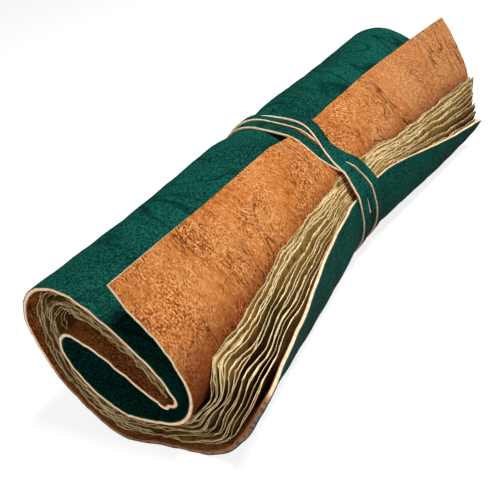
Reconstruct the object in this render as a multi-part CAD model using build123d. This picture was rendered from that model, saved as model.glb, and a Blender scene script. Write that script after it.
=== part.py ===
"""Soft leather journal, closed, rolled up from its spine and tied round the middle.

The section across the roll is one long walk: the back cover runs from the spine over the top,
round the left and along the bottom to the mouth. The pages lie inside it, the front cover lies
inside the pages, and at the mouth the front cover turns up and becomes the flap.
X runs across the roll, Y along it, Z up. Sizes are in millimetres, angles in degrees.
"""
import copy
import os
from math import cos, hypot, pi, radians, sin

from build123d import *

# Cover sheet
LENGTH = 200.0
LEATHER = 1.4

# Walk of the back cover's outer face from the spine, as distance run and angle turned.
# Three values are for the near end, the tied waist and the far end.
SPINE_X = (0.0, -1.6, 0.0)
SPINE_HEADING = (112.0, 105.0, 103.0)
TOP_RUN = (20.0, 18.5, 22.0)
TOP_TURN = (19.0, 19.0, 19.0)
CREST_RUN = (17.7, 16.5, 16.0)
CREST_TURN = (17.0, 30.0, 33.0)
SHOULDER_RUN = (34.6, 35.6, 38.0)
FLANK_HEADING = 259.0
FLANK_RUN = (31.4, 30.1, 31.4)
FLANK_TURN = 54.0
UNDER_RUN = (14.0, 13.6, 14.0)
CORNER_RUN = 8.7
CORNER_TURN = 25.0
FLAT_RUN = (20.0, 11.5, 16.7)
MOUTH_RUN = (18.0, 29.5, 16.4)
MOUTH_TURN = (46.0, 89.0, 47.0)
EDGE_RUN = (23.5, 7.0, 6.5)
EDGE_TURN = 6.0

# Flap, on from the bottom of the front cover: approach, fold, rise and tip
FOLD_IN = (14.0, 8.7, 13.7)
FOLD_RUN = (25.9, 26.0, 24.7)
FOLD_TURN = (94.0, 86.0, 74.0)
RISE_RUN = (16.8, 16.6, 11.3)
RISE_TURN = (33.0, 42.0, 29.0)
TIP_RUN = (14.6, 13.4, 20.4)
TIP_TURN = (-24.0, 38.0, 7.0)

# Pages
PAGE_GAP = 0.55
BLOCK_SPINE = 4.6
BLOCK_BODY = 7.6
SAG = 7.0
SAG_SHARE = 1.15
NEAR_INSET = 3.5
FAR_INSET = 0.8
LEAVES = 10
LEAF_SHARE = 0.75
PAGE_EDGE = (3.0, 2.0, 0.8)
PAGE_RISE = (36.0, 41.5, 42.0)
PAGE_BULGE = (1.5, -1.2, 2.5)
DECKLE = 0.7
DECKLE_SHARE = (1.0, 0.2, 0.3)
PAGE_CLEAR = 4.5
BEND = (LEATHER + 2 * PAGE_GAP + BLOCK_SPINE) / 2

# Binding thread, sewn through the spine at these shares of the length
SEWING = (0.15, 0.37, 0.65, 0.87)
THREAD = 0.8
THREAD_GAP = 0.15
THREAD_DEPTH = 3.0
THREAD_TAIL = 8.0

# Tie strap
STRAP_WIDTH = 3.8
STRAP = 1.4
STRAP_PITCH = 4.2
STRAP_GAP = 0.3
STRAP_SPAN = 13.0
STRAP_LIP = 0.8
FLOOR_GAP = 0.6
FLAT_CUT = 0.12
WAIST = 0.53 * LENGTH
WAIST_HALF = 13.0
SOFT = 0.06
LIFT_RUN = 56.0
STATION_SHARE = (0.33, 0.67)
ROUND_COUNT = (4, 2, 4, 2, 2, 2)
MOUTH_COUNT = (2, 4, 2)
FLAP_COUNT = (2, 6, 4, 4)


def flare(values, y):
    """A value given at the near end, waist and far end, taken at y; level across the waist."""
    near, waist, far = values
    low = WAIST - WAIST_HALF
    high = WAIST + WAIST_HALF
    end = near if y < WAIST else far
    fan = max(0.0, 1 - (y / low) ** 1.2, (y - high) / (LENGTH - high))
    return waist + (end - waist) * fan * fan * (1 + SOFT) / (fan + SOFT)


def step(t):
    """Smooth rise from 0 to 1 while t goes from 0 to 1."""
    t = min(1.0, max(0.0, t))
    return t * t * (3 - 2 * t)


def walk(runs, x, z, heading, s):
    """Point and heading (radians) at distance s along tangent runs of (length, turn)."""
    a = radians(heading)
    for length, turn in runs:
        d = min(s, length)
        bend = radians(turn) / length
        if abs(bend) < 1e-9:
            x += d * cos(a)
            z += d * sin(a)
        else:
            x += (sin(a + bend * d) - sin(a)) / bend
            z += (cos(a) - cos(a + bend * d)) / bend
            a += bend * d
        s -= d
        if s <= 0:
            break
    return x, z, a


def back_runs(y):
    """Runs of the back cover's outer face at y."""
    crest = flare(SPINE_HEADING, y) + flare(TOP_TURN, y) + flare(CREST_TURN, y)
    return [
        (flare(TOP_RUN, y), flare(TOP_TURN, y)),
        (flare(CREST_RUN, y), flare(CREST_TURN, y)),
        (flare(SHOULDER_RUN, y), FLANK_HEADING - crest),
        (flare(FLANK_RUN, y), FLANK_TURN),
        (flare(UNDER_RUN, y), 360.0 - FLANK_HEADING - FLANK_TURN - CORNER_TURN),
        (CORNER_RUN, CORNER_TURN),
        (flare(FLAT_RUN, y), 0.0),
        (flare(MOUTH_RUN, y), flare(MOUTH_TURN, y)),
        (flare(EDGE_RUN, y), EDGE_TURN),
    ]


def back(y, s):
    return walk(back_runs(y), flare(SPINE_X, y), 0.0, flare(SPINE_HEADING, y), s)


def back_length(y):
    return sum(length for length, turn in back_runs(y))


def loose_length(y):
    """Distance from the spine over which the front cover hangs free of the pages."""
    return sum(length for length, turn in back_runs(y)[:3])


def round_length(y):
    """Distance from the spine to the start of the flat bottom."""
    return sum(length for length, turn in back_runs(y)[:6])


def marks(runs, counts):
    """Distances that part a walk's runs, each into its own even count."""
    out = [0.0]
    for (length, turn), count in zip(runs, counts):
        start = out[-1]
        out += [start + length * (i + 1) / count for i in range(count)]
    return out


def inward(place, depth):
    """Point at a depth to the left of a walk's heading; left is the hollow's side."""
    x, z, a = place
    return x - sin(a) * depth, z + cos(a) * depth


def block(y, s):
    """Thickness of the pages at distance s from the spine."""
    return BLOCK_SPINE + (BLOCK_BODY - BLOCK_SPINE) * step(s / loose_length(y))


def sag(y, s):
    """Gap under the pages where the front cover hangs loose along the top."""
    return SAG * sin(pi * min(1.0, s / (SAG_SHARE * loose_length(y)))) ** 2


def front_depth(y, s):
    """Depth of the front cover's middle below the back cover's outer face."""
    return 1.5 * LEATHER + 2 * PAGE_GAP + block(y, s) + sag(y, s)


def flap_runs(y):
    """Runs of the front cover's middle past the round part: approach, fold, rise and tip."""
    return [
        (flare(FOLD_IN, y), 4.0),
        (flare(FOLD_RUN, y), flare(FOLD_TURN, y)),
        (flare(RISE_RUN, y), flare(RISE_TURN, y)),
        (flare(TIP_RUN, y), flare(TIP_TURN, y)),
    ]


def flap(y, t):
    """Point and heading on the front cover's middle, at distance t past the round part."""
    s = round_length(y)
    x, z = inward(back(y, s), front_depth(y, s))
    return walk(flap_runs(y), x, z, 360.0, t)


def flap_length(y):
    return sum(length for length, turn in flap_runs(y))


def spread(count):
    return [i / (count - 1) for i in range(count)]


def offset(points, depth):
    """Points moved by depth to the left of the way they run, as on arcs through them."""
    ways = []
    for a, b, c in zip(points, points[1:], points[2:]):
        d1 = (b[0] - a[0]) ** 2 + (b[1] - a[1]) ** 2
        d2 = (c[0] - b[0]) ** 2 + (c[1] - b[1]) ** 2
        x = (b[0] - a[0]) / d1 + (c[0] - b[0]) / d2
        z = (b[1] - a[1]) / d1 + (c[1] - b[1]) / d2
        ways.append((x / hypot(x, z), z / hypot(x, z)))
    first = mirrored(ways[0], points[0], points[1])
    last = mirrored(ways[-1], points[-2], points[-1])
    ways = [first] + ways + [last]
    return [(x - wz * depth, z + wx * depth) for (x, z), (wx, wz) in zip(points, ways)]


def mirrored(way, a, b):
    """A direction mirrored about the chord from a to b: the tangent at an arc's other end."""
    d = hypot(b[0] - a[0], b[1] - a[1])
    x = (b[0] - a[0]) / d
    z = (b[1] - a[1]) / d
    along = 2 * (way[0] * x + way[1] * z)
    return along * x - way[0], along * z - way[1]


def spine_bend(y):
    """Middle of the bend that the cover makes round the spine, and the heading there."""
    place = back(y, 0)
    x, z = inward(place, LEATHER / 2 + BEND)
    return x, z, place[2]


def cover_middle(y):
    """Middle line of the cover sheet at y, from the back cover's edge to the flap's edge."""
    far = marks(back_runs(y), ROUND_COUNT + MOUTH_COUNT)
    line = [inward(back(y, s), LEATHER / 2) for s in reversed(far)]
    x, z, a = spine_bend(y)
    for u in spread(5)[1:-1]:
        turn = a - pi / 2 - pi * u
        line.append((x + BEND * cos(turn), z + BEND * sin(turn)))
    line += [inward(back(y, s), front_depth(y, s)) for s in marks(back_runs(y), ROUND_COUNT)]
    line += [flap(y, s)[:2] for s in marks(flap_runs(y), FLAP_COUNT)[1:]]
    return line


def floor(y):
    """Height of the floor in the section at y; the tied waist is clear of it."""
    clear = STRAP + STRAP_GAP + FLOOR_GAP
    rise = 1 - step((abs(y - WAIST) - WAIST_HALF) / LIFT_RUN)
    return back(y, round_length(y))[1] - clear * rise


def at(points, y):
    """Section points set out in space, on the floor."""
    return [Vector(x, y, z - floor(y)) for x, z in points]


def arcs(points):
    """Arcs through every three points in turn, or lines where they lie straight."""
    out = []
    for a, b, c in zip(points[::2], points[1::2], points[2::2]):
        if (b - a).cross(c - b).length < 1e-4 * (c - a).length:
            out.append(Edge.make_line(a, c))
        else:
            out.append(Edge.make_three_point_arc(a, b, c))
    return out


def lines(points):
    """Straight edges from point to point."""
    return [Edge.make_line(a, b) for a, b in zip(points, points[1:])]


def band(y, left, right):
    """Closed section between two lines of points that run the same way."""
    a = at(left, y)
    b = at(right, y)
    b.reverse()
    return Wire(arcs(a) + [Edge.make_line(a[-1], b[0])] + arcs(b) + [Edge.make_line(b[-1], a[0])])


def stops(start, end):
    """Sections along the roll between start and end."""
    low = WAIST - WAIST_HALF
    high = WAIST + WAIST_HALF
    inner = [NEAR_INSET] + [low * f for f in STATION_SHARE] + [low, high]
    inner += [high + (LENGTH - high) * f for f in STATION_SHARE]
    return [start] + [y for y in inner if start < y < end] + [end]


def make_cover():
    rings = []
    for y in stops(0.0, LENGTH):
        line = cover_middle(y)
        rings.append(band(y, offset(line, LEATHER / 2), offset(line, -LEATHER / 2)))
    sheet = Solid.make_loft(rings, True)
    return split(sheet, bisect_by=Plane.XY.offset(FLAT_CUT), keep=Keep.TOP)


def page_rails(y):
    """Outer and inner rails of the pages, matched point by point from spine to fore-edge."""
    part = round_length(y)
    whole = back_length(y)
    skin = LEATHER + PAGE_GAP
    outer = []
    inner = []
    for s in marks(back_runs(y), ROUND_COUNT + MOUTH_COUNT):
        if s <= part + 1e-6:
            outer.append(inward(back(y, s), skin))
            inner.append(inward(back(y, s), skin + block(y, s)))
        else:
            u = (s - part) / (whole - part)
            outer.append(inward(back(y, s - flare(PAGE_EDGE, y) * u), skin))
            inner.append(inward(flap(y, flare(PAGE_RISE, y) * u), -LEATHER / 2 - PAGE_GAP))
    return outer, inner


def between(p, q, share):
    return p[0] + (q[0] - p[0]) * share, p[1] + (q[1] - p[1]) * share


def leaf_line(y, outer, inner, share, first, number):
    """One face of a leaf from rung `first` to its tip, with a small deckle in its reach."""
    line = [between(p, q, share) for p, q in zip(outer[first:], inner[first:])]
    reach = DECKLE * flare(DECKLE_SHARE, y) * sin(2.4 * number + 0.11 * y) + flare(PAGE_BULGE, y) * sin(pi * share)
    tip, root = line[-1], line[-2]
    d = hypot(tip[0] - root[0], tip[1] - root[1])
    line[-1] = between(root, tip, 1 + reach / d)
    return line


def page_section(y):
    """Comb-shaped section: one body from the spine, split into leaves at the mouth."""
    outer, inner = page_rails(y)
    split = sum(ROUND_COUNT) + 1
    pitch = 1.0 / LEAVES
    edges = [Edge.make_line(at([inner[0]], y)[0], at([outer[0]], y)[0])]
    edges += arcs(at(outer[:split], y))
    edges += lines(at([outer[split - 1]] + leaf_line(y, outer, inner, 0.0, split, 0), y))
    for k in range(LEAVES):
        low = at(leaf_line(y, outer, inner, k * pitch, split, k), y)
        share = 1.0 if k == LEAVES - 1 else (k + LEAF_SHARE) * pitch
        top = leaf_line(y, outer, inner, share, split, k)
        edges.append(Edge.make_line(low[-1], at(top, y)[-1]))
        if k == LEAVES - 1:
            edges += lines(at([inner[split - 1]] + top, y)[::-1])
            edges += arcs(at(inner[:split], y)[::-1])
        else:
            root = between(outer[split - 1], inner[split - 1], (k + (1 + LEAF_SHARE) / 2) * pitch)
            after = leaf_line(y, outer, inner, (k + 1) * pitch, split, k + 1)
            edges += lines(at([root] + top, y)[::-1]) + lines(at([root] + after, y))
    return Wire(edges)


def make_pages():
    rings = [page_section(y) for y in stops(NEAR_INSET, LENGTH - FAR_INSET)]
    return Solid.make_loft(rings, True)


def strap_loop():
    """Closed line round the tied waist, where the strap's inner face lies."""
    y = WAIST
    rise = flare(PAGE_RISE, y)
    whole = flap_length(y)
    start = rise + PAGE_CLEAR
    out = [inward(flap(y, rise), -LEATHER / 2 - PAGE_GAP - DECKLE - STRAP_GAP)]
    for u in spread(8):
        out.append(inward(flap(y, start + (whole - start) * u), -LEATHER / 2 - STRAP_GAP))
    end_x, end_z, _ = flap(y, whole)
    top = range(int(loose_length(y)))
    lie = min(top, key=lambda s: hypot(back(y, s)[0] - end_x, back(y, s)[1] - end_z))
    join = lie + STRAP_SPAN
    total = back_length(y)
    for u in spread(46):
        out.append(inward(back(y, join + (total - join) * u), -STRAP_GAP))
    x, z, a = back(y, total)
    out.append(inward((x + STRAP_LIP * cos(a), z + STRAP_LIP * sin(a), a), -STRAP_GAP))
    return out


def strap_course():
    """Stops of the strap: turns made, place along the roll and layer off the first."""
    return [
        (-0.1, 0.0, 0.0), (0.28, 0.0, 0.0), (0.34, 0.1, 0.0), (0.5, 1.0, 0.0), (1.22, 1.0, 0.0),
        (1.33, 0.85, 1.0), (1.4, 0.45, 1.0), (1.5, -0.4, 0.6), (1.62, -1.0, 0.0), (1.9, -1.0, 0.0),
        (1.98, -0.8, 0.6), (2.03, -0.4, 1.0), (2.1, 0.6, 1.0), (2.17, 1.5, 1.0), (2.24, 2.0, 0.4),
        (2.32, 2.05, 0.0), (2.66, 2.05, 0.0),
    ]


def make_strap():
    loop = strap_loop()
    lengths = [0.0]
    ring = loop + [loop[0]]
    for (ax, az), (bx, bz) in zip(ring, ring[1:]):
        lengths.append(lengths[-1] + hypot(bx - ax, bz - az))
    girth = lengths[-1]

    def place(turns):
        s = (turns % 1.0) * girth
        i = max(j for j in range(len(loop)) if lengths[j] <= s)
        return between(ring[i], ring[i + 1], (s - lengths[i]) / (lengths[i + 1] - lengths[i]))

    course = strap_course()

    def course_at(turns, column):
        for a, b in zip(course, course[1:]):
            if turns <= b[0]:
                return a[column] + (b[column] - a[column]) * step((turns - a[0]) / (b[0] - a[0]))
        return course[-1][column]

    def spot(turns):
        ax, az = place(turns - 0.012)
        bx, bz = place(turns + 0.012)
        d = hypot(bx - ax, bz - az)
        nx, nz = (bz - az) / d, -(bx - ax) / d
        mx, mz = place(turns)
        lift = course_at(turns, 2) * (STRAP + STRAP_GAP)
        y = WAIST - STRAP_PITCH / 2 + course_at(turns, 1) * STRAP_PITCH
        return Vector(mx + nx * lift, y, mz + nz * lift - floor(WAIST)), Vector(nx, 0, nz)

    first, last = course[0][0], course[-1][0]
    count = 130
    rings = []
    for u in spread(count):
        turns = first + (last - first) * u
        middle, normal = spot(turns)
        ahead = spot(turns + 0.006)[0] - spot(turns - 0.006)[0]
        side = normal.cross(ahead).normalized() * (STRAP_WIDTH / 2)
        up = normal * STRAP
        corners = [middle - side, middle + side, middle + side + up, middle - side + up]
        rings.append(Wire.make_polygon(corners, close=True))
    return Solid.make_loft(rings, True)


def thread_line():
    """Square-wave course of the thread: along the pages' fold, out, along the spine, in again."""
    proud = BEND + LEATHER / 2 + THREAD / 2 + THREAD_GAP

    def spot(y, reach):
        x, z, a = spine_bend(y)
        return at([(x - cos(a) * reach, z - sin(a) * reach)], y)[0]

    holes = [LENGTH * f for f in SEWING]
    ends = [holes[0] - THREAD_TAIL] + holes + [holes[-1] + THREAD_TAIL]
    line = []
    for i, (a, b) in enumerate(zip(ends, ends[1:])):
        reach = proud if i % 2 else -THREAD_DEPTH
        line += [spot(a, reach), spot(b, reach)]
    return line


def make_thread(thickness):
    """Round thread along its course: a rod for each run, each long enough to fill its corners."""
    line = thread_line()
    shape = None
    for a, b in zip(line, line[1:]):
        way = (b - a).normalized()
        start = Plane(a - way * (thickness / 2), z_dir=way)
        rod = extrude(start * RegularPolygon(thickness / 2, 8), (b - a).length + thickness)
        shape = rod if shape is None else shape + rod
    return shape


os.makedirs("parts", exist_ok=True)
channel = make_thread(THREAD + 2 * THREAD_GAP)
pieces = {
    "cover": make_cover() - channel,
    "pages": make_pages() - channel,
    "tie_strap": make_strap(),
    "binding_thread": make_thread(THREAD),
}
box = Compound(children=[copy.copy(solid) for solid in pieces.values()]).bounding_box()
home = Pos(-box.center().X, -box.center().Y, -box.min.Z)
for name, solid in pieces.items():
    export_step(home * solid, f"parts/{name}.step")
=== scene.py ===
"""Looks of the rolled leather journal: cover, leaves, tie strap, floor, light and camera.

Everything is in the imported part's frame, in metres. The section across the roll is the same
walk of tangent runs as in the part's source, taken here on whole grids of points.
"""

import bpy
import numpy as np
from mathutils import Matrix, Vector


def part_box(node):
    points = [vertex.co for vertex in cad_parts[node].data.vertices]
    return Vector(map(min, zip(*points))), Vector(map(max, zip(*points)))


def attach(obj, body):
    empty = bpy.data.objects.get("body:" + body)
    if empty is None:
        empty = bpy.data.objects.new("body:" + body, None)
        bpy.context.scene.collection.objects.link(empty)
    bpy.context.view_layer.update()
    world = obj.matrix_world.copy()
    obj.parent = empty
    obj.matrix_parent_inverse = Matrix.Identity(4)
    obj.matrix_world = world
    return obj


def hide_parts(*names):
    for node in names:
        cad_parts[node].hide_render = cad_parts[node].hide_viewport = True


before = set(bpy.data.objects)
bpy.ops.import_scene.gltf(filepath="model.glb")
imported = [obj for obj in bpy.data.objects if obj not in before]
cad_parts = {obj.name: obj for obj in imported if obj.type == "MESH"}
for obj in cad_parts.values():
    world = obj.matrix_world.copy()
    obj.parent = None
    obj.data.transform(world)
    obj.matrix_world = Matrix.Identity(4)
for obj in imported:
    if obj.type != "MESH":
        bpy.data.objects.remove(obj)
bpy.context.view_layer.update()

# Section of the roll in millimetres and degrees: near end, tied waist, far end
LENGTH = 200.0
LEATHER = 1.4
SPINE_X = (0.0, -1.6, 0.0)
SPINE_HEADING = (112.0, 105.0, 103.0)
TOP_RUN = (20.0, 18.5, 22.0)
TOP_TURN = (19.0, 19.0, 19.0)
CREST_RUN = (17.7, 16.5, 16.0)
CREST_TURN = (17.0, 30.0, 33.0)
SHOULDER_RUN = (34.6, 35.6, 38.0)
FLANK_HEADING = 259.0
FLANK_RUN = (31.4, 30.1, 31.4)
FLANK_TURN = 54.0
UNDER_RUN = (14.0, 13.6, 14.0)
CORNER_RUN = 8.7
CORNER_TURN = 25.0
FLAT_RUN = (20.0, 11.5, 16.7)
MOUTH_RUN = (18.0, 29.5, 16.4)
MOUTH_TURN = (46.0, 89.0, 47.0)
EDGE_RUN = (23.5, 7.0, 6.5)
EDGE_TURN = 6.0
FOLD_IN = (14.0, 8.7, 13.7)
FOLD_IN_TURN = 4.0
FOLD_RUN = (25.9, 26.0, 24.7)
FOLD_TURN = (94.0, 86.0, 74.0)
RISE_RUN = (16.8, 16.6, 11.3)
RISE_TURN = (33.0, 42.0, 29.0)
TIP_RUN = (14.6, 13.4, 20.4)
TIP_TURN = (-24.0, 38.0, 7.0)
# Runs of the back cover up to the end of its shoulder, of its round part and of the whole
SHOULDER_RUNS, ROUND_RUNS, ALL_RUNS = 3, 6, 9

# How the section flares from the waist, and where the part is cut flat to rest
WAIST = 106.0
WAIST_HALF = 13.0
FLARE_POWER = 1.2
SOFT = 0.06
LIFT_RUN = 56.0
STRAP = 1.4
STRAP_GAP = 0.3
FLOOR_GAP = 0.6
FLAT_CUT = 0.12

# Page block between the covers, and the front cover's hang below it
PAGE_GAP = 0.55
BLOCK_SPINE = 4.6
BLOCK_BODY = 7.6
BEND = (LEATHER + 2 * PAGE_GAP + BLOCK_SPINE) / 2
SKIN = LEATHER + PAGE_GAP
SAG = 7.0
SAG_SHARE = 1.15
NEAR_REACH = 60.0
# Places round the loose part of the front cover, and its gap there at the near end
NEAR_SAG = (
    (0.0, 0.1, 0.2, 0.3, 0.5, 0.6, 0.8, 0.95, 1.0, 1.05, 1.1),
    (0.0, 5.0, 7.3, 6.8, 6.5, 6.5, 5.4, 4.0, 3.0, 1.2, 0.0),
)

# Fore-edge of the pages: step behind the back cover, height up the flap, bulge of the middle
PAGE_EDGE = (3.0, 0.8, 0.8)
PAGE_RISE = (38.5, 40.5, 43.0)
PAGE_BULGE = (1.5, 0.3, 2.5)

# Rounded rises and dips along the roll: height, place, spread
RISE_SWELL = (3.8, 50, 22)
RISE_DIP = (2.0, 138, 16)
EDGE_DIP = (3.0, 36, 13)
FLAP_DIP = (2.6, 124, 20)

# Depths by which the tie presses into the roll and into the standing flap, and their reach
# along the roll
PINCH = 1.3
PINCH_HALF = 14
PRESS = 1.5
PRESS_REACH = 30

# Share by which the bend round the spine is dented at the near end, and how far in that goes
SPINE_DENT = 0.5
DENT_REACH = 22


def flare(values, y):
    """A value given at the near end, waist and far end, taken at y; level across the waist."""
    near, waist, far = values
    low, high = WAIST - WAIST_HALF, WAIST + WAIST_HALF
    near_fan = 1 - (np.maximum(y, 0) / low) ** FLARE_POWER
    fan = np.maximum(np.maximum(near_fan, (y - high) / (LENGTH - high)), 0.0)
    end = np.where(y < WAIST, near, far)
    return waist + (end - waist) * fan * fan * (1 + SOFT) / (fan + SOFT)


def step(t):
    """Smooth step: 0 up to t = 0, 1 from t = 1 on, level at both."""
    t = np.clip(t, 0.0, 1.0)
    return t * t * (3 - 2 * t)


def swell(y, height, place, spread):
    """Rounded rise of a height at a place, falling off over its spread to either side."""
    return height * np.exp(-((y - place) / spread) ** 2)


def walk(runs, x, z, heading, s):
    """Points and headings at distances s along tangent runs; straight on past the last one."""
    a = np.radians(heading) + 0 * s
    x = x + 0 * s
    z = z + 0 * s
    for length, turn in runs:
        d = np.clip(s, 0, length)
        bend = np.radians(turn) / length + 1e-9
        x = x + (np.sin(a + bend * d) - np.sin(a)) / bend
        z = z + (np.cos(a) - np.cos(a + bend * d)) / bend
        a = a + bend * d
        s = s - d
    return x + np.cos(a) * s, z + np.sin(a) * s, a


def back_runs(y):
    """Length and turn of each run of the back cover's outside, from the spine to its fore-edge."""
    crest = flare(SPINE_HEADING, y) + flare(TOP_TURN, y) + flare(CREST_TURN, y)
    return [
        (flare(TOP_RUN, y), flare(TOP_TURN, y)),
        (flare(CREST_RUN, y), flare(CREST_TURN, y)),
        (flare(SHOULDER_RUN, y), FLANK_HEADING - crest),
        (flare(FLANK_RUN, y), FLANK_TURN),
        (flare(UNDER_RUN, y), 360.0 - FLANK_HEADING - FLANK_TURN - CORNER_TURN),
        (CORNER_RUN, CORNER_TURN),
        (flare(FLAT_RUN, y), 0.0),
        (flare(MOUTH_RUN, y), flare(MOUTH_TURN, y)),
        (flare(EDGE_RUN, y), EDGE_TURN),
    ]


def back(y, s):
    """Points and headings on the back cover's outside, at distances s from the spine."""
    return walk(back_runs(y), flare(SPINE_X, y), 0.0, flare(SPINE_HEADING, y), s)


def run_sum(y, count):
    """Length of the first runs of the back cover."""
    return sum(length for length, turn in back_runs(y)[:count])


def inward(place, depth):
    """Points at a depth to the left of a walk's heading; left is the hollow's side."""
    x, z, a = place
    return x - np.sin(a) * depth, z + np.cos(a) * depth


def block(y, s):
    """Thickness of the page block: thin by the spine, full from the end of the shoulder."""
    return BLOCK_SPINE + (BLOCK_BODY - BLOCK_SPINE) * step(s / run_sum(y, SHOULDER_RUNS))


def sag(y, s):
    """Gap under the pages where the front cover hangs loose; at the near end it hangs flatter."""
    loose = s / run_sum(y, SHOULDER_RUNS)
    even = SAG * np.sin(np.pi * np.clip(loose / SAG_SHARE, 0, 1)) ** 2
    near = np.interp(loose, *NEAR_SAG)
    return near + (even - near) * step(y / NEAR_REACH)


def front_depth(y, s):
    """Depth of the front cover's middle below the back cover's outside."""
    return 1.5 * LEATHER + 2 * PAGE_GAP + block(y, s) + sag(y, s)


def flap_runs(y):
    """Length and turn of each run of the flap, from the front cover's end to its free edge."""
    return [
        (flare(FOLD_IN, y), FOLD_IN_TURN),
        (flare(FOLD_RUN, y), flare(FOLD_TURN, y)),
        (flare(RISE_RUN, y), flare(RISE_TURN, y)),
        (flare(TIP_RUN, y), flare(TIP_TURN, y)),
    ]


def flap_length(y):
    """Length of the flap past the front cover's round part."""
    return sum(length for length, turn in flap_runs(y))


def flap(y, t):
    """Points and headings on the flap's middle, at distances t from the front cover's end."""
    s = run_sum(y, ROUND_RUNS)
    x, z = inward(back(y, s), front_depth(y, s))
    return walk(flap_runs(y), x, z, 360.0, t)


def floor_level(y):
    """Height of the section's flat underside, lowered at the waist by the strap's room."""
    clear = STRAP + STRAP_GAP + FLOOR_GAP
    rise = 1 - step((np.abs(y - WAIST) - WAIST_HALF) / LIFT_RUN)
    return back(y, run_sum(y, ROUND_RUNS))[1] - clear * rise


def page_rise(y):
    """How far up the flap the topmost leaf reaches."""
    return flare(PAGE_RISE, y) + (swell(y, *RISE_SWELL) - swell(y, *RISE_DIP))


def pinch(y):
    """Depth by which the tie presses into the roll: level under the strap, soft at its sides."""
    return PINCH * np.exp(-((y - WAIST + 2) / PINCH_HALF) ** 4)


def press(y, rise):
    """Depth by which the tie presses the flap in, most at the middle of its standing part."""
    held = swell(y, PRESS, WAIST, PRESS_REACH) * swell(rise, 1.0, 0.8, 0.13)
    return pinch(y) * step(rise * 2 - 0.6) + held


def waves(seed, *coords, count=7):
    """Smooth noise of about unit height: sines of random direction over the coordinates."""
    rng = np.random.default_rng(seed)
    total = 0.0
    for _ in range(count):
        way = rng.normal(size=len(coords))
        total = total + np.sin(2 * np.pi * (sum(w * c for w, c in zip(way, coords)) + rng.random()))
    return total * np.sqrt(2 / count)


def left_of(x, z):
    """Unit normals to the left of lines of points that run along the last axis."""
    dx, dz = np.gradient(x, axis=-1), np.gradient(z, axis=-1)
    d = np.hypot(dx, dz)
    return -dz / d, dx / d


def eased(line):
    """Rows of values evened out along the last axis, with their ends kept."""
    for _ in range(8):
        inner = (line[:, :-2] + 2 * line[:, 1:-1] + line[:, 2:]) / 4
        line = np.hstack([line[:, :1], inner, line[:, -1:]])
    return line


# Grid of the cover: rows along the roll, and columns over the back cover, the bend round the
# spine, the front cover and the flap
ROWS = 200
BACK_COLUMNS = 92
BEND_COLUMNS = 15
FRONT_COLUMNS = 52
FLAP_COLUMNS = 46
# Bulge of the cut edges of the leather and of a leaf, in metres
CUT_BULGE = 0.00015
LEAF_BULGE = 0.00004


def sheet_middle(y):
    """Middle line of the cover: back cover reversed, bend round the spine, front cover, flap."""
    q = np.linspace(0, 1, BACK_COLUMNS)[None]
    whole = run_sum(y, ALL_RUNS) - swell(y, *EDGE_DIP)
    parts = [inward(back(y, whole * (1 - q)), LEATHER / 2 + pinch(y))]
    place = back(y, 0 * y)
    cx, cz = inward(place, LEATHER / 2 + BEND)
    u = np.linspace(0, 1, BEND_COLUMNS)[None, 1:-1]
    turn = place[2] - np.pi / 2 - np.pi * u
    dent = SPINE_DENT * (1 - step(y / DENT_REACH)) * np.sin(np.pi * u) ** 4
    round_x = cx + BEND * (1 - dent) * np.cos(turn)
    round_z = cz + BEND * (1 - dent) * np.sin(turn)
    parts.append((round_x, round_z))
    s = run_sum(y, ROUND_RUNS) * np.linspace(0, 1, FRONT_COLUMNS)[None]
    parts.append([eased(line) for line in inward(back(y, s), front_depth(y, s))])
    rise = np.linspace(0, 1, FLAP_COLUMNS)[None, 1:]
    length = flap_length(y) - swell(y, *FLAP_DIP)
    parts.append(inward(flap(y, length * rise), press(y, rise)))
    return np.hstack([p[0] for p in parts]), np.hstack([p[1] for p in parts])


rows = np.linspace(0, 1, ROWS)[:, None]
y_flat = LENGTH * (rows + 0.012 * np.sin(4 * np.pi * rows) / 2)
mx, mz = sheet_middle(y_flat)
nx, nz = left_of(mx, mz)
# Move of the section to the part's frame: the cover's rightmost point is the solid's
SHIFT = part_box("cover")[1].x * 1000 - (mx + np.abs(nx) * LEATHER / 2).max()


def in_frame(x, y, z):
    """Section points in millimetres to frame points in metres, cut flat where the part rests."""
    y = y + 0 * x
    z = np.maximum(z - floor_level(y) - FLAT_CUT, 0)
    return np.stack([x + SHIFT, y - LENGTH / 2, z], axis=-1) / 1000


def slab(top, bottom, bulge):
    """Closed sheet between two grids, its border closed by two strips over a bulged middle line.

    Gives points, quads, each quad's kind (0 top, 1 bottom, 2 border) and each point's grid index.
    """
    ny, ns = top.shape[:2]
    index = np.arange(ny * ns).reshape(ny, ns)
    corners = [index[:-1, :-1], index[:-1, 1:], index[1:, 1:], index[1:, :-1]]
    quads = np.stack(corners, -1).reshape(-1, 4)
    inner_row = np.clip(np.arange(ny), 1, ny - 2)[:, None]
    inner = inner_row * ns + np.clip(np.arange(ns), 1, ns - 2)[None]
    loop = np.concatenate([index[0, :-1], index[:-1, -1], index[-1, :0:-1], index[:0:-1, 0]])
    t, b = top.reshape(-1, 3), bottom.reshape(-1, 3)
    out = t[loop] - t[inner.reshape(-1)[loop]]
    out /= np.linalg.norm(out, axis=1, keepdims=True) + 1e-12
    middle = (t[loop] + b[loop]) / 2 + out * bulge
    points = np.concatenate([t, b, middle])
    count = len(t)
    ridge = 2 * count + np.arange(len(loop))
    after = np.roll(np.arange(len(loop)), -1)
    upper = np.stack([loop, ridge, ridge[after], loop[after]], -1)
    lower = np.stack([ridge, loop + count, loop[after] + count, ridge[after]], -1)
    faces = np.concatenate([quads, quads[:, ::-1] + count, upper, lower])
    kinds = np.repeat([0, 1, 2], [len(quads), len(quads), 2 * len(loop)])
    return points, faces, kinds, np.concatenate([np.arange(count), np.arange(count), loop])


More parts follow.
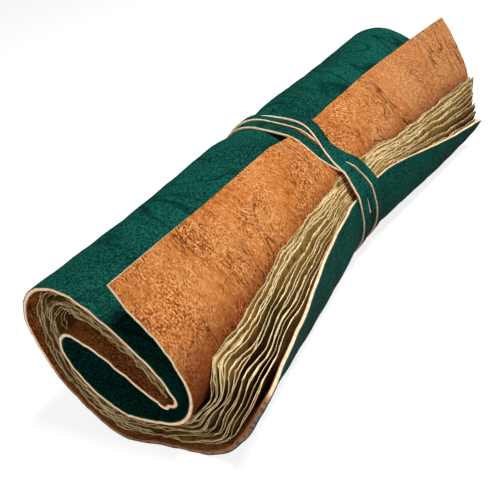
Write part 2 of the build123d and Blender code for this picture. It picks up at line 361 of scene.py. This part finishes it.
def make_piece(name, points, faces, kinds, materials, flat, values):
    """Mesh object from arrays, with a UV map of flat places in metres and named point values."""
    mesh = bpy.data.meshes.new(name)
    mesh.vertices.add(len(points))
    mesh.vertices.foreach_set("co", points.astype(np.float32).ravel())
    mesh.loops.add(faces.size)
    mesh.loops.foreach_set("vertex_index", faces.astype(np.int32).ravel())
    mesh.polygons.add(len(faces))
    mesh.polygons.foreach_set("loop_start", np.arange(0, faces.size, 4, dtype=np.int32))
    for material in materials:
        mesh.materials.append(material)
    mesh.polygons.foreach_set("material_index", kinds.astype(np.int32))
    mesh.polygons.foreach_set("use_smooth", np.ones(len(faces), bool))
    layer = mesh.uv_layers.new(name="flat")
    layer.data.foreach_set("uv", flat[faces].astype(np.float32).ravel())
    for key, value in values.items():
        attribute = mesh.attributes.new(key, "FLOAT", "POINT")
        attribute.data.foreach_set("value", value.astype(np.float32))
    mesh.update(calc_edges=True)
    mesh.set_sharp_from_angle(angle=np.radians(50))
    piece = bpy.data.objects.new(name, mesh)
    bpy.context.scene.collection.objects.link(piece)
    return piece


def srgb(red, green, blue):
    """Linear colour from 0-255 screen values."""
    c = np.array([red, green, blue]) / 255
    lin = np.where(c <= 0.04045, c / 12.92, ((c + 0.055) / 1.055) ** 2.4)
    return (*lin, 1.0)


def add(tree, kind, inputs=None, **props):
    """New node with its properties and inputs set; an input that is a socket is linked."""
    node = tree.nodes.new(kind)
    for key, value in props.items():
        setattr(node, key, value)
    for key, value in (inputs or {}).items():
        if isinstance(value, bpy.types.NodeSocket):
            tree.links.new(value, node.inputs[key])
        else:
            node.inputs[key].default_value = value
    return node


def mix(tree, share, a, b, blend="MIX"):
    """Colour a turned towards b by a share."""
    inputs = {0: share, 6: a, 7: b}
    return add(tree, "ShaderNodeMix", inputs, data_type="RGBA", blend_type=blend).outputs[2]


def remap(tree, value, low, high, to_low=0.0, to_high=1.0):
    """Value taken smoothly from one range to another, and held past its ends."""
    inputs = {"Value": value, 1: low, 2: high, 3: to_low, 4: to_high}
    return add(tree, "ShaderNodeMapRange", inputs, interpolation_type="SMOOTHSTEP").outputs[0]


def calc(tree, operation, a, b=0.0):
    """Two values put through one operation."""
    return add(tree, "ShaderNodeMath", {0: a, 1: b}, operation=operation).outputs[0]


def noise(tree, place, scale, detail=2.0, rough=0.5, distort=0.0):
    """Cloudy noise value at a place."""
    inputs = {"Vector": place, "Scale": scale, "Detail": detail}
    inputs |= {"Roughness": rough, "Distortion": distort}
    return add(tree, "ShaderNodeTexNoise", inputs).outputs["Fac"]


def point_value(tree, name):
    """Value that the piece holds at its points under a name."""
    return add(tree, "ShaderNodeAttribute", attribute_name=name).outputs["Fac"]


def bump(tree, height, distance, strength):
    """Normal that follows a height."""
    inputs = {"Height": height, "Distance": distance, "Strength": strength}
    return add(tree, "ShaderNodeBump", inputs).outputs[0]


def surface(name):
    """New material: its tree, its Principled node and its coordinates."""
    material = bpy.data.materials.new(name)
    material.use_nodes = True
    tree = material.node_tree
    coords = add(tree, "ShaderNodeTexCoord")
    return material, tree, tree.nodes["Principled BSDF"], coords.outputs


def shader_group(name, inputs, output):
    """New group of shader nodes: its tree, its given values and the sockets of its result."""
    tree = bpy.data.node_groups.new(name, "ShaderNodeTree")
    for label, kind in inputs.items():
        tree.interface.new_socket(label, in_out="INPUT", socket_type=kind)
    tree.interface.new_socket(output, in_out="OUTPUT", socket_type="NodeSocketFloat")
    given = tree.nodes.new("NodeGroupInput").outputs
    return tree, given, tree.nodes.new("NodeGroupOutput").inputs


def crease_group():
    """Mask of thin lines, where drawn-out noise passes its middle value inside a patch."""
    inputs = {"Flat": "NodeSocketVector", "Stretch": "NodeSocketVector"}
    inputs |= dict.fromkeys(("Roughness", "Wander", "Width", "Patch"), "NodeSocketFloat")
    tree, given, result = shader_group("crease_lines", inputs, "Line")
    drawn = add(tree, "ShaderNodeMapping", {"Vector": given["Flat"], "Scale": given["Stretch"]})
    fold = noise(tree, drawn.outputs[0], 1.0, 2.0, given["Roughness"], given["Wander"])
    away = calc(tree, "ABSOLUTE", calc(tree, "SUBTRACT", fold, 0.5))
    line = remap(tree, away, 0.0, given["Width"], 1.0, 0.0)
    tree.links.new(calc(tree, "MULTIPLY", line, given["Patch"]), result["Line"])
    return tree


def fade_group():
    """Share that grows along the roll, from nothing at its start to its most at its end."""
    inputs = {"Place": "NodeSocketVector"}
    inputs |= dict.fromkeys(("Start", "End", "Most"), "NodeSocketFloat")
    tree, given, result = shader_group("fade_along", inputs, "Share")
    along_roll = add(tree, "ShaderNodeSeparateXYZ", {0: given["Place"]}).outputs["Y"]
    share = remap(tree, along_roll, given["Start"], given["End"], 0.0, given["Most"])
    tree.links.new(share, result["Share"])
    return tree


CREASES = crease_group()
FADE = fade_group()


def green_leather():
    """Pebbled dyed leather: broad tone, pale specks on the pebbles painted as glints of sheen, and a few
    soft creases with painted shade in them.
    """
    material, tree, shade, coords = surface("green_leather")
    place = coords["Object"]
    broad = noise(tree, place, 30.0, 4.0, 0.6)
    fine = noise(tree, place, 1600.0, 2.0, 0.6)
    inputs = {"Vector": place, "Scale": 1250.0}
    cells = add(tree, "ShaderNodeTexVoronoi", inputs, feature="SMOOTH_F1").outputs["Distance"]
    tone = mix(tree, remap(tree, broad, 0.35, 0.65), srgb(0, 49, 42), srgb(5, 78, 66))
    # Pale specks on the pebbles: painted glints of sheen, standing in for the leather's specular shine
    tone = mix(tree, remap(tree, fine, 0.46, 0.64, 0.0, 0.5), tone, srgb(46, 108, 94))
    tone = mix(tree, remap(tree, fine, 0.5, 0.36, 0.0, 0.6), tone, srgb(0, 28, 25))
    # Crease lines painted dark as shade in the creases, weaker low on the roll; the bump gives their
    # relief
    inputs = {"Flat": coords["UV"], "Stretch": (17.0, 44.0, 1.0), "Patch": remap(tree, broad, 0.38, 0.54)}
    inputs |= {"Roughness": 0.45, "Wander": 0.8, "Width": 0.028}
    line = add(tree, "ShaderNodeGroup", inputs, node_tree=CREASES).outputs["Line"]
    level = add(tree, "ShaderNodeSeparateXYZ", {0: place}).outputs["Z"]
    line = calc(tree, "MULTIPLY", line, remap(tree, level, 0.026, 0.04, 0.15, 1.0))
    tone = mix(tree, calc(tree, "MULTIPLY", line, 0.75), tone, srgb(0, 34, 31))
    tree.links.new(tone, shade.inputs["Base Color"])
    shade.inputs["Roughness"].default_value = 0.6
    shade.inputs["Specular IOR Level"].default_value = 0.02
    height = calc(tree, "ADD", calc(tree, "MULTIPLY", cells, 0.8), calc(tree, "MULTIPLY", fine, 0.6))
    height = calc(tree, "SUBTRACT", height, calc(tree, "MULTIPLY", line, 0.9))
    tree.links.new(bump(tree, height, 0.0002, 0.9), shade.inputs["Normal"])
    return material


def suede():
    """Napped flesh side: fine pits and pale fibres, soft broad patches and a few creases painted dark as
    shade.

    It is greyer towards the far end, and painted darker and redder as shade by the pages on the flap and,
    less, on the inner faces.
    """
    material, tree, shade, coords = surface("suede")
    place, flat = coords["Object"], coords["UV"]
    drawn = add(tree, "ShaderNodeMapping", {"Vector": flat, "Scale": (0.75, 1.0, 1.0)}).outputs[0]
    broad = noise(tree, place, 40.0, 3.0, 0.55)
    nap = noise(tree, drawn, 1700.0, 3.0, 0.65, 0.3)
    depth = remap(tree, noise(tree, place, 75.0, 2.0, 0.5), 0.38, 0.62, 0.5, 1.2)
    nap = calc(tree, "ADD", calc(tree, "MULTIPLY", calc(tree, "SUBTRACT", nap, 0.5), depth), 0.5)
    tuft = noise(tree, drawn, 520.0, 2.0, 0.6, 0.5)
    pile = calc(tree, "ADD", calc(tree, "MULTIPLY", nap, 0.78), calc(tree, "MULTIPLY", tuft, 0.22))
    pile = calc(tree, "ADD", pile, remap(tree, broad, 0.3, 0.7, -0.02, 0.02))
    tone = mix(tree, remap(tree, pile, 0.39, 0.5), srgb(106, 46, 14), srgb(188, 112, 52))
    tone = mix(tree, remap(tree, pile, 0.5, 0.62), tone, srgb(238, 172, 108))
    tone = mix(tree, remap(tree, broad, 0.42, 0.62, 0.0, 0.3), tone, srgb(200, 134, 78))
    inputs = {"Place": place, "Start": 0.0, "End": 0.08, "Most": 0.35}
    far = add(tree, "ShaderNodeGroup", inputs, node_tree=FADE).outputs["Share"]
    tone = mix(tree, far, tone, srgb(178, 128, 86))
    # Crease lines painted dark as shade in the creases; the bump gives their relief
    patch = remap(tree, noise(tree, place, 48.0, 2.0, 0.5), 0.45, 0.56)
    inputs = {"Flat": flat, "Stretch": (55.0, 210.0, 1.0), "Patch": patch}
    inputs |= {"Roughness": 0.5, "Wander": 1.2, "Width": 0.03}
    line = add(tree, "ShaderNodeGroup", inputs, node_tree=CREASES).outputs["Line"]
    tone = mix(tree, calc(tree, "MULTIPLY", line, 0.85), tone, srgb(96, 42, 12))
    # Painted shade from the point value: darker and redder by the pages on the flap, and a little on the
    # inner faces
    tone = mix(tree, point_value(tree, "shade"), tone, srgb(150, 88, 56), "MULTIPLY")
    tree.links.new(tone, shade.inputs["Base Color"])
    shade.inputs["Roughness"].default_value = 0.95
    shade.inputs["Specular IOR Level"].default_value = 0.1
    height = calc(tree, "SUBTRACT", pile, calc(tree, "MULTIPLY", line, 0.8))
    tree.links.new(bump(tree, height, 0.0005, 0.7), shade.inputs["Normal"])
    return material


def cut_edge():
    """Cut leather: dyed skin on top, pale core, brown fibres below; brown right through where worn."""
    material, tree, shade, coords = surface("cut_edge")
    fleck = noise(tree, coords["Object"], 700.0, 3.0, 0.6)
    depth = point_value(tree, "depth")
    tone = mix(tree, remap(tree, fleck, 0.35, 0.7), srgb(255, 228, 192), srgb(236, 194, 150))
    worn = calc(tree, "MULTIPLY", point_value(tree, "worn"), remap(tree, fleck, 0.3, 0.6, 1.0, 0.75))
    tone = mix(tree, worn, tone, srgb(82, 44, 18))
    tone = mix(tree, remap(tree, depth, 0.3, 0.16), tone, srgb(10, 60, 50))
    tone = mix(tree, remap(tree, depth, 0.75, 0.95), tone, srgb(150, 88, 44))
    tree.links.new(tone, shade.inputs["Base Color"])
    shade.inputs["Roughness"].default_value = 0.9
    tree.links.new(bump(tree, fleck, 0.0003, 0.5), shade.inputs["Normal"])
    return material


def paper():
    """Handmade paper: cloudy straw with dark fibres, pale torn rims brightened as a painted highlight,
    and painted shade deep between leaves and on set-back leaves.
    """
    material, tree, shade, coords = surface("paper")
    place = coords["Object"]
    leaf, edge = point_value(tree, "tone"), point_value(tree, "edge")
    fibre = noise(tree, place, 420.0, 5.0, 0.65, 0.5)
    cloud = noise(tree, place, 70.0, 3.0, 0.5)
    # Per-leaf tone from the point value: random, and darker on odd bundles as painted shade
    tone = mix(tree, leaf, srgb(128, 92, 38), srgb(174, 138, 68))
    tone = mix(tree, remap(tree, cloud, 0.4, 0.7, 0.0, 0.5), tone, srgb(120, 86, 38))
    tone = mix(tree, remap(tree, fibre, 0.48, 0.66, 0.0, 0.8), tone, srgb(92, 62, 26))
    # Painted shade: faces darker deeper in from the leaf's edge, where the leaves shade each other
    tone = mix(tree, remap(tree, edge, 2.0, 8.0, 0.0, 0.65), tone, srgb(54, 32, 11))
    # Pale torn rims, brightened also as a painted highlight on the lit edges; dimmer on leaves painted in
    # shade
    torn = remap(tree, edge, 0.0, 0.65, 1.0, 0.0)
    torn = calc(tree, "MULTIPLY", torn, remap(tree, leaf, 0.0, 0.7, 0.35, 0.95))
    broken = remap(tree, noise(tree, place, 150.0, 3.0, 0.6), 0.3, 0.55, 0.45, 1.0)
    tone = mix(tree, calc(tree, "MULTIPLY", torn, broken), tone, srgb(254, 230, 178))
    inputs = {"Place": place, "Start": 0.05, "End": 0.1, "Most": 0.5}
    far = add(tree, "ShaderNodeGroup", inputs, node_tree=FADE).outputs["Share"]
    tone = mix(tree, far, tone, srgb(176, 160, 140), "MULTIPLY")
    tree.links.new(tone, shade.inputs["Base Color"])
    shade.inputs["Roughness"].default_value = 0.95
    shade.inputs["Specular IOR Level"].default_value = 0.15
    tree.links.new(bump(tree, fibre, 0.0005, 0.6), shade.inputs["Normal"])
    return material


def linen():
    """Undyed linen thread, plain all over."""
    material, _, shade, _ = surface("linen_thread")
    shade.inputs["Base Color"].default_value = srgb(206, 190, 158)
    shade.inputs["Roughness"].default_value = 0.8
    return material


GREEN = green_leather()
SUEDE = suede()
CUT = cut_edge()
PAPER = paper()


def make_cover():
    """One sheet of leather, its two faces half its thickness to either side of its middle line.

    Small buckles lift the middle line away from the tie, and ragged lines trim the two ends.
    Its points hold the depth in the leather, the wear of the near edge and the painted shade of the suede
    by the fold and on the inner faces.
    """
    dx, dz = (np.diff(line, axis=1, prepend=line[:, :1]) for line in (mx, mz))
    along = np.cumsum(np.hypot(dx, dz), axis=1)
    buckle = 0.22 * waves(3, along / 55, y_flat / 38) + 0.05 * waves(4, along / 16, y_flat / 14)
    buckle = buckle * (1 - swell(y_flat, 1.0, WAIST, 20))
    cx, cz = mx + nx * buckle * 0.6, mz + nz * buckle * 0.6
    share = along / along[:, -1:]
    flap_start = share[:, -FLAP_COLUMNS:1 - FLAP_COLUMNS]
    rise = np.clip((share - flap_start) / (1 - flap_start), 0, 1)
    ragged = 0.2 * waves(5, along / 30) + 0.08 * waves(6, along / 7)
    near_trim = ragged + swell(share, 2.4, 0.1, 0.05)
    far_trim = ragged + 2.2 * np.sin(np.pi * step(rise * 1.2 - 0.1)) + swell(share, 1.6, 0, 0.12)
    y = y_flat + near_trim * np.exp(-y_flat / 6) - far_trim * np.exp((y_flat - LENGTH) / 6)
    top = in_frame(cx + nx * LEATHER / 2, y, cz + nz * LEATHER / 2)
    under = in_frame(cx - nx * LEATHER / 2, y, cz - nz * LEATHER / 2)
    points, faces, kinds, source = slab(top, under, CUT_BULGE)
    flat = np.stack([along, y_flat + 0 * along], -1).reshape(-1, 2)[source] / 1000
    depth = np.repeat([0.0, 1.0, 0.5], [along.size, along.size, len(points) - 2 * along.size])
    back_end = share[:, BACK_COLUMNS - 1:BACK_COLUMNS]
    worn = step((back_end - share - 0.24) / 0.04) * (1 - step((y_flat - 3) / 3))
    # Painted shade on the suede: strong on the flap up to the pages' edge and fading past it, weak on the
    # inner faces and the fold
    fold_shade = np.where(rise > 0.2, 0.75 * (1 - step((rise - 0.55) / 0.16)), 0.22)
    values = {"depth": depth, "worn": worn.ravel()[source], "shade": fold_shade.ravel()[source]}
    materials = [GREEN, SUEDE, CUT]
    return make_piece("cover_sheet", points, faces[:, ::-1], kinds, materials, flat, values)


cover = make_cover()
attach(cover, "root")
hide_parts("cover")

# Leaves are gathered in bundles of these counts, which part where the leaves fan out at the
# mouth, with these spaces before each bundle.
BUNDLES = (2, 1, 3, 2, 1, 2, 3, 1, 2, 2, 3, 2)
SPACES = (0, 1.4, 0.8, 1.9, 1.1, 2.2, 0.9, 1.7, 0.9, 2.0, 1.2, 1.5)
LEAVES = sum(BUNDLES)
LEAF = 0.3
FAR_INSET = 0.8
# Shares of a leaf's width from spine to deckle edge, and how far its near end is set back there
NEAR_INSET = ((0, 0.2, 0.34, 0.45, 0.6, 0.8, 1), (0.8, 1.0, 3.2, 2.2, 0.9, 2.6, 3.6))
CORNER_INSET = 6.0
ODD_INSET = 2.4
# The one leaf with a turned corner, and that corner's size
EAR_LEAF = 11
EAR = 16.0

starts = np.cumsum((0,) + BUNDLES[:-1])
bundle = np.searchsorted(starts, np.arange(LEAVES), "right") - 1
fanned = np.arange(LEAVES) * LEAF + np.cumsum(SPACES)[bundle]
fanned = 0.015 + 0.97 * (fanned - fanned[0]) / (fanned[-1] - fanned[0])


def leaf_ends(k, q, chance):
    """Near and far ends of leaf k at shares q of its width, torn along wavy lines."""
    near = np.interp(q, *NEAR_INSET)
    near = near + CORNER_INSET * (0.4 + 0.6 * k / LEAVES) * np.clip((q - 0.84) / 0.16, 0, 1) ** 2
    near = near + ODD_INSET * (bundle[k] % 2) * (1 - step(q * 4 - 2.6))
    near = near + 0.5 * waves(200 + k, q * 5) + 0.25 * waves(230 + k, q * 40) + 0.7 * chance[0]
    far = LENGTH - FAR_INSET + 0.7 * waves(260 + k, q * 5) + 0.3 * waves(290 + k, q * 40) - chance[1]
    return near, far + (7.0 * (k / LEAVES) ** 2 * chance[2] - 1.5) * q ** 5


def leaf_reach(k, y, chance):
    """How far leaf k stands out of the mouth: a bulge over the fan, steps in a bundle, torn waves."""
    order = k - starts[bundle[k]]
    reach = flare(PAGE_BULGE, y) * np.sin(np.pi * fanned[k]) + 0.5 * (chance[3] - 0.5) - 0.45 * order
    reach = reach + 0.25 * waves(320 + k, y / 30) + 0.1 * waves(350 + k, y / 9)
    return reach + 0.13 * waves(380 + k, y / 3) + 0.15 * waves(12, k * 0.06, y / 14)


def leaf_rails(y, s, u):
    """Outer rail, inside the back cover, and inner rail, outside the front cover and the flap."""
    part = run_sum(y, ROUND_RUNS)
    outer = inward(back(y, s - flare(PAGE_EDGE, y) * u), SKIN + pinch(y))
    round_rail = inward(back(y, np.minimum(s, part)), SKIN + block(y, s))
    t = page_rise(y) * u
    flap_rail = inward(flap(y, t), press(y, t / flap_length(y)) - LEATHER / 2 - PAGE_GAP)
    inner = [np.where(s > part, on_flap, on_round) for on_flap, on_round in zip(flap_rail, round_rail)]
    return outer, inner


def leaf_lie(k, y, s, u, gap):
    """Share of the way from the outer to the inner rail at which leaf k lies.

    It is even round the roll and goes over to the bundles' fan in the mouth, where it leans and
    waves more, least by the tie.
    """
    fan = step(u * 1.6)
    lean = 0.03 * np.sin(np.pi * fanned[k]) * waves(500 + bundle[k], y / 130)
    lean = lean + 0.12 * (1 - fanned[k]) * np.exp(-y / 26) * fan
    even = (k + 0.5) / LEAVES
    share = even + (fanned[k] + lean - even) * (0.85 + 0.15 * fan)
    swing = 0.1 + step(u) * (1 - swell(y, 0.8, WAIST, 30)) * (0.16 + 0.5 * np.exp(-y / 35))
    wave = waves(9, k * 0.05, y / 45, s / 40) + 0.16 * waves(11, k * 0.2, y / 12, s / 18)
    return share + swing * wave / gap


def leaf_grid(k, v, q):
    """Leaf k as (x, y, z, thickness, distance to the nearest edge), in millimetres.

    Its rows v run along the roll from its near to its far end, and its columns q from the spine
    to its deckle edge. Under the roll's top the leaves drop towards the loose front cover.
    """
    chance = np.random.default_rng(100 + k).random(4)
    q = q + 0 * v
    near, far = leaf_ends(k, q, chance)
    y = near + (far - near) * v
    part, whole = run_sum(y, ROUND_RUNS), run_sum(y, ALL_RUNS)
    s = q * (whole + leaf_reach(k, y, chance)) + 0.3
    u = np.maximum(0, (s - part) / (whole - part))
    (ox, oz), (ix, iz) = leaf_rails(y, s, u)
    gap = np.hypot(ix - ox, iz - oz)
    lie = leaf_lie(k, y, s, u, gap)
    if k == EAR_LEAF:
        lie = lie - 0.16 * step(1 - ((1 - q) * whole + y - near) / EAR)
    lie = np.clip(lie, 0.4 / LEAVES, 1 - 0.4 / LEAVES)
    loose = s / run_sum(y, SHOULDER_RUNS)
    drop = (k / LEAVES) ** 1.6 * swell(loose, 1.0, 0.72, 0.2) * (1 - step(y / NEAR_REACH))
    drop = (0.34 + 0.22 * np.sin(5.0 * k)) * sag(y, s) * drop
    lx, lz = left_of(ox, oz)
    x, z = ox + (ix - ox) * lie + lx * drop, oz + (iz - oz) * lie + lz * drop
    thick = np.minimum(LEAF, 0.28 * gap / LEAVES)
    edge = np.minimum(np.minimum((1 - q) * whole, y - near), far - y)
    return x, y, z, thick, edge


def end_rows(count, crowd):
    """Shares from 0 to 1, crowded towards both ends."""
    t = np.linspace(-1, 1, count)
    return (0.5 + 0.5 * np.sign(t) * (1 - (1 - np.abs(t)) ** crowd))[:, None]


def leaf_pieces(gathers):
    """Slabs of all leaves in even gathers; each leaf is a patch round the roll and one in the mouth."""
    split = 0.74
    patches = [
        (end_rows(26, 2.6), np.linspace(0, split, 90)[None]),
        (end_rows(260, 1.15), 1 - (1 - split) * np.linspace(1, 0, 14)[None] ** 1.3),
    ]
    for group in range(gathers):
        sets = []
        count = 0
        for k in range(group * LEAVES // gathers, (group + 1) * LEAVES // gathers):
            # Random tone for each leaf; leaves of odd bundles, set back at the near end, are painted
            # darker as shade
            leaf_tone_and_shade = 0.3 + 0.7 * np.random.default_rng(k).random() - 0.3 * (bundle[k] % 2)
            for v, q in patches:
                x, y, z, thick, edge = leaf_grid(k, v, q)
                lx, lz = left_of(x, z)
                high = in_frame(x + lx * thick / 2, y, z + lz * thick / 2)
                low = in_frame(x - lx * thick / 2, y, z - lz * thick / 2)
                points, faces, kinds, source = slab(high, low, LEAF_BULGE)
                edge_value = np.clip(edge, 0, 12).ravel()[source]
                tone = np.full(len(points), leaf_tone_and_shade)
                flat = np.stack([edge, y], -1).reshape(-1, 2)[source] / 1000
                sets.append((points, faces[:, ::-1] + count, 0 * kinds, flat, edge_value, tone))
                count += len(points)
        points, faces, kinds, flat, edge, tone = (np.concatenate(part) for part in zip(*sets))
        values = {"edge": edge, "tone": tone}
        yield make_piece(f"leaves_{group + 1}", points, faces, kinds, [PAPER], flat, values)


leaves = list(leaf_pieces(4))
for piece in leaves:
    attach(piece, "root")
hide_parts("pages")

# Tie strap: its section, the pitch from pass to pass, the reach of its free span over the roll
# and its lip past the back cover's fore-edge
LACE_WIDTH = 4.8
LACE = 0.85
LACE_ROUND = 0.2
STRAP_PITCH = 4.2
STRAP_SPAN = 13.0
STRAP_LIP = 0.8
SUNK = 0.05
# Course of the strap: turns made, place along the roll in pitches, layer
COURSE = np.array([
    (-0.10, 0.0, 0.0), (0.28, 0.0, 0.0), (0.34, 0.1, 0.0), (0.5, 1.0, 0.0), (1.22, 1.0, 0.0),
    (1.3, 0.9, 1.0), (1.4, 0.45, 1.0), (1.5, -0.4, 0.6), (1.62, -1.0, 0.0), (1.9, -1.0, 0.0),
    (1.97, -0.8, 0.6), (2.02, 0.0, 1.0), (2.08, 1.0, 1.0), (2.14, 1.5, 1.0), (2.2, 1.5, 0.5),
    (2.28, 1.25, 0.0), (2.36, 1.3, 0.0), (2.48, 2.05, 0.0), (2.66, 2.05, 0.0),
])


def strap_loop():
    """Closed line round the tied waist, where the strap's inner face lies.

    It goes up the flap from the topmost leaf, straight from the flap's tip to the back cover,
    round the roll to the lip past its fore-edge, and straight over the pages.
    """
    y = np.array([[WAIST]])
    rise, whole = page_rise(y), flap_length(y)
    first = inward(flap(y, rise), press(y, rise / whole) - LEATHER / 2 - PAGE_GAP - 1.0)
    t = rise + 4.5 + (whole - rise - 4.5) * np.linspace(0, 1, 8)[None]
    up = inward(flap(y, t), press(y, t / whole) - LEATHER / 2 - SUNK)
    tip_x, tip_z, _ = flap(y, whole)
    near = np.arange(70.0)[None]
    px, pz, _ = back(y, near)
    join = near[0, np.argmin(np.hypot(px - tip_x, pz - tip_z))] + STRAP_SPAN
    end = run_sum(y, ALL_RUNS)
    over = inward(back(y, join + (end - join) * np.linspace(0, 1, 120)[None]), pinch(y) - SUNK)
    lip = inward(back(y, end + STRAP_LIP), pinch(y) - SUNK)
    return np.array([np.hstack(line)[0] for line in zip(first, up, over, lip, first)])


def make_strap():
    """Flat lace swept along its course: rows along it, columns round its rounded section.

    The course winds round the loop; its passes slant over the flap and the mouth, and one that
    crosses another is lifted by its thickness.
    """
    loop = strap_loop()
    run = np.concatenate([[0], np.cumsum(np.hypot(*np.diff(loop, axis=1)))])

    def on_loop(turns):
        s = (turns % 1.0) * run[-1]
        return np.interp(s, run, loop[0]), np.interp(s, run, loop[1])

    def course(turns, column):
        near = turns[:, None] + np.linspace(-0.03, 0.03, 9)[None]
        return np.interp(near, COURSE[:, 0], COURSE[:, column]).mean(axis=1)

    def spot(turns):
        (ax, az), (bx, bz) = on_loop(turns - 0.012), on_loop(turns + 0.012)
        d = np.hypot(bx - ax, bz - az)
        n = np.stack([(bz - az) / d, 0 * d, (ax - bx) / d], -1)
        x, z = on_loop(turns)
        lift = course(turns, 2)[:, None] * (LACE + 0.15)
        pitch = course(turns, 1)
        part = (turns + 0.5) % 1.0 - 0.5
        slant = swell(part, 1.0, 0.22, 0.14) * (0.8 * pitch - 3.6)
        slant = slant - swell(part, 5.0, 0.06, np.where(part > 0.06, 0.085, 0.065))
        y = WAIST - STRAP_PITCH / 2 + 1.3 * pitch * STRAP_PITCH + slant
        return np.stack([x, y, z], -1) + n * lift, n

    turns = np.linspace(COURSE[0, 0], COURSE[-1, 0], 700)
    middle, normal = spot(turns)
    ahead = spot(turns + 0.006)[0] - spot(turns - 0.006)[0]
    side = np.cross(normal, ahead)
    side /= np.linalg.norm(side, axis=1, keepdims=True)
    w, h, r = LACE_WIDTH / 2, LACE, LACE_ROUND
    ring = np.array([
        (-w, r), (-w + r, 0), (w - r, 0), (w, r), (w, h - r),
        (w - r, h), (0, h + 0.05), (-w + r, h), (-w, h - r),
    ])
    p = middle[:, None] + side[:, None] * ring[None, :, :1] + normal[:, None] * ring[None, :, 1:]
    p = in_frame(p[..., 0], p[..., 1], p[..., 2])
    n, m = p.shape[:2]
    index = np.arange(n * m).reshape(n, m)
    after = np.roll(index, -1, axis=1)
    faces = np.stack([index[:-1], index[1:], after[1:], after[:-1]], -1).reshape(-1, 4)
    kinds = np.tile([1, 1, 1, 1, 1, 0, 0, 1, 1], n - 1)
    caps = np.array([[0, 1, 2, 3], [0, 3, 4, 8], [4, 5, 7, 8]])
    faces = np.concatenate([faces, caps, caps[:, ::-1] + (n - 1) * m])
    kinds = np.concatenate([kinds, np.ones(6, int)])
    flat = np.stack([np.tile(np.arange(m), n) * 0.001, np.repeat(turns, m) * 0.18], -1)
    depth = np.tile([0.6, 0.9, 0.9, 0.6, 0.45, 0.3, 0.0, 0.3, 0.45], n)
    values = {"depth": depth}
    return make_piece("strap_lace", p.reshape(-1, 3), faces, kinds, [GREEN, CUT], flat, values)


strap = make_strap()
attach(strap, "root")
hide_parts("tie_strap")

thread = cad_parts["binding_thread"]
thread.data.materials.clear()
thread.data.materials.append(linen())

# Floor: pale grey under the lamps, and near white to the camera
floor = bpy.data.meshes.new("floor")
floor.from_pydata([(-6, -6, 0), (6, -6, 0), (6, 6, 0), (-6, 6, 0)], [], [(0, 1, 2, 3)])
ground = bpy.data.objects.new("floor", floor)
bpy.context.scene.collection.objects.link(ground)
floor_material, floor_tree, floor_shade, _ = surface("pale_floor")
floor_shade.inputs["Base Color"].default_value = (0.4, 0.4, 0.4, 1)
floor_shade.inputs["Roughness"].default_value = 1.0
floor_shade.inputs["Specular IOR Level"].default_value = 0.0
floor_shade.inputs["Emission Color"].default_value = (1, 1, 1, 1)
seen = add(floor_tree, "ShaderNodeLightPath").outputs["Is Camera Ray"]
glow = calc(floor_tree, "MULTIPLY", seen, 0.84)
floor_tree.links.new(glow, floor_shade.inputs["Emission Strength"])
floor.materials.append(floor_material)

# Light: a dim sky that the camera sees white, a key lamp above and a soft lamp at the near end
world = bpy.data.worlds.new("studio")
bpy.context.scene.world = world
world.use_nodes = True
sky = world.node_tree
sky_light = sky.nodes["Background"]
sky_light.inputs["Color"].default_value = (1, 1, 1, 1)
camera_ray = add(sky, "ShaderNodeLightPath").outputs["Is Camera Ray"]
sky.links.new(remap(sky, camera_ray, 0.0, 1.0, 0.12, 1.0), sky_light.inputs["Strength"])


def area_light(name, place, target, size, power):
    """Round lamp at a place, turned to its target."""
    data = bpy.data.lights.new(name, "AREA")
    data.shape = "DISK"
    data.size = size
    data.energy = power
    lamp = bpy.data.objects.new(name, data)
    lamp.location = place
    lamp.rotation_euler = (Vector(target) - Vector(place)).to_track_quat("-Z", "Y").to_euler()
    bpy.context.scene.collection.objects.link(lamp)


area_light("key", (0.4, 0.06, 0.8), (0, 0, 0.03), 0.3, 9.0)
area_light("front", (0.05, -0.95, 0.13), (0, 0, 0.03), 0.3, 4.0)

# Camera: its place and the ways of its right, its top and its back
camera = bpy.data.objects.new("camera", bpy.data.cameras.new("camera"))
camera.data.sensor_width = 36.0
camera.data.lens = 54.72
camera.data.clip_start = 0.01
stand = Matrix.Translation((0.1406, -0.2014, 0.1408))
right = Vector((0.80807, 0.52672, -0.26379))
up = Vector((-0.06669, 0.52672, 0.84742))
away = Vector((0.58530, -0.66718, 0.46076))
camera.matrix_world = stand @ Matrix((right, up, away)).transposed().to_4x4()
bpy.context.scene.collection.objects.link(camera)
bpy.context.scene.camera = camera
bpy.context.scene.view_settings.view_transform = "Standard"
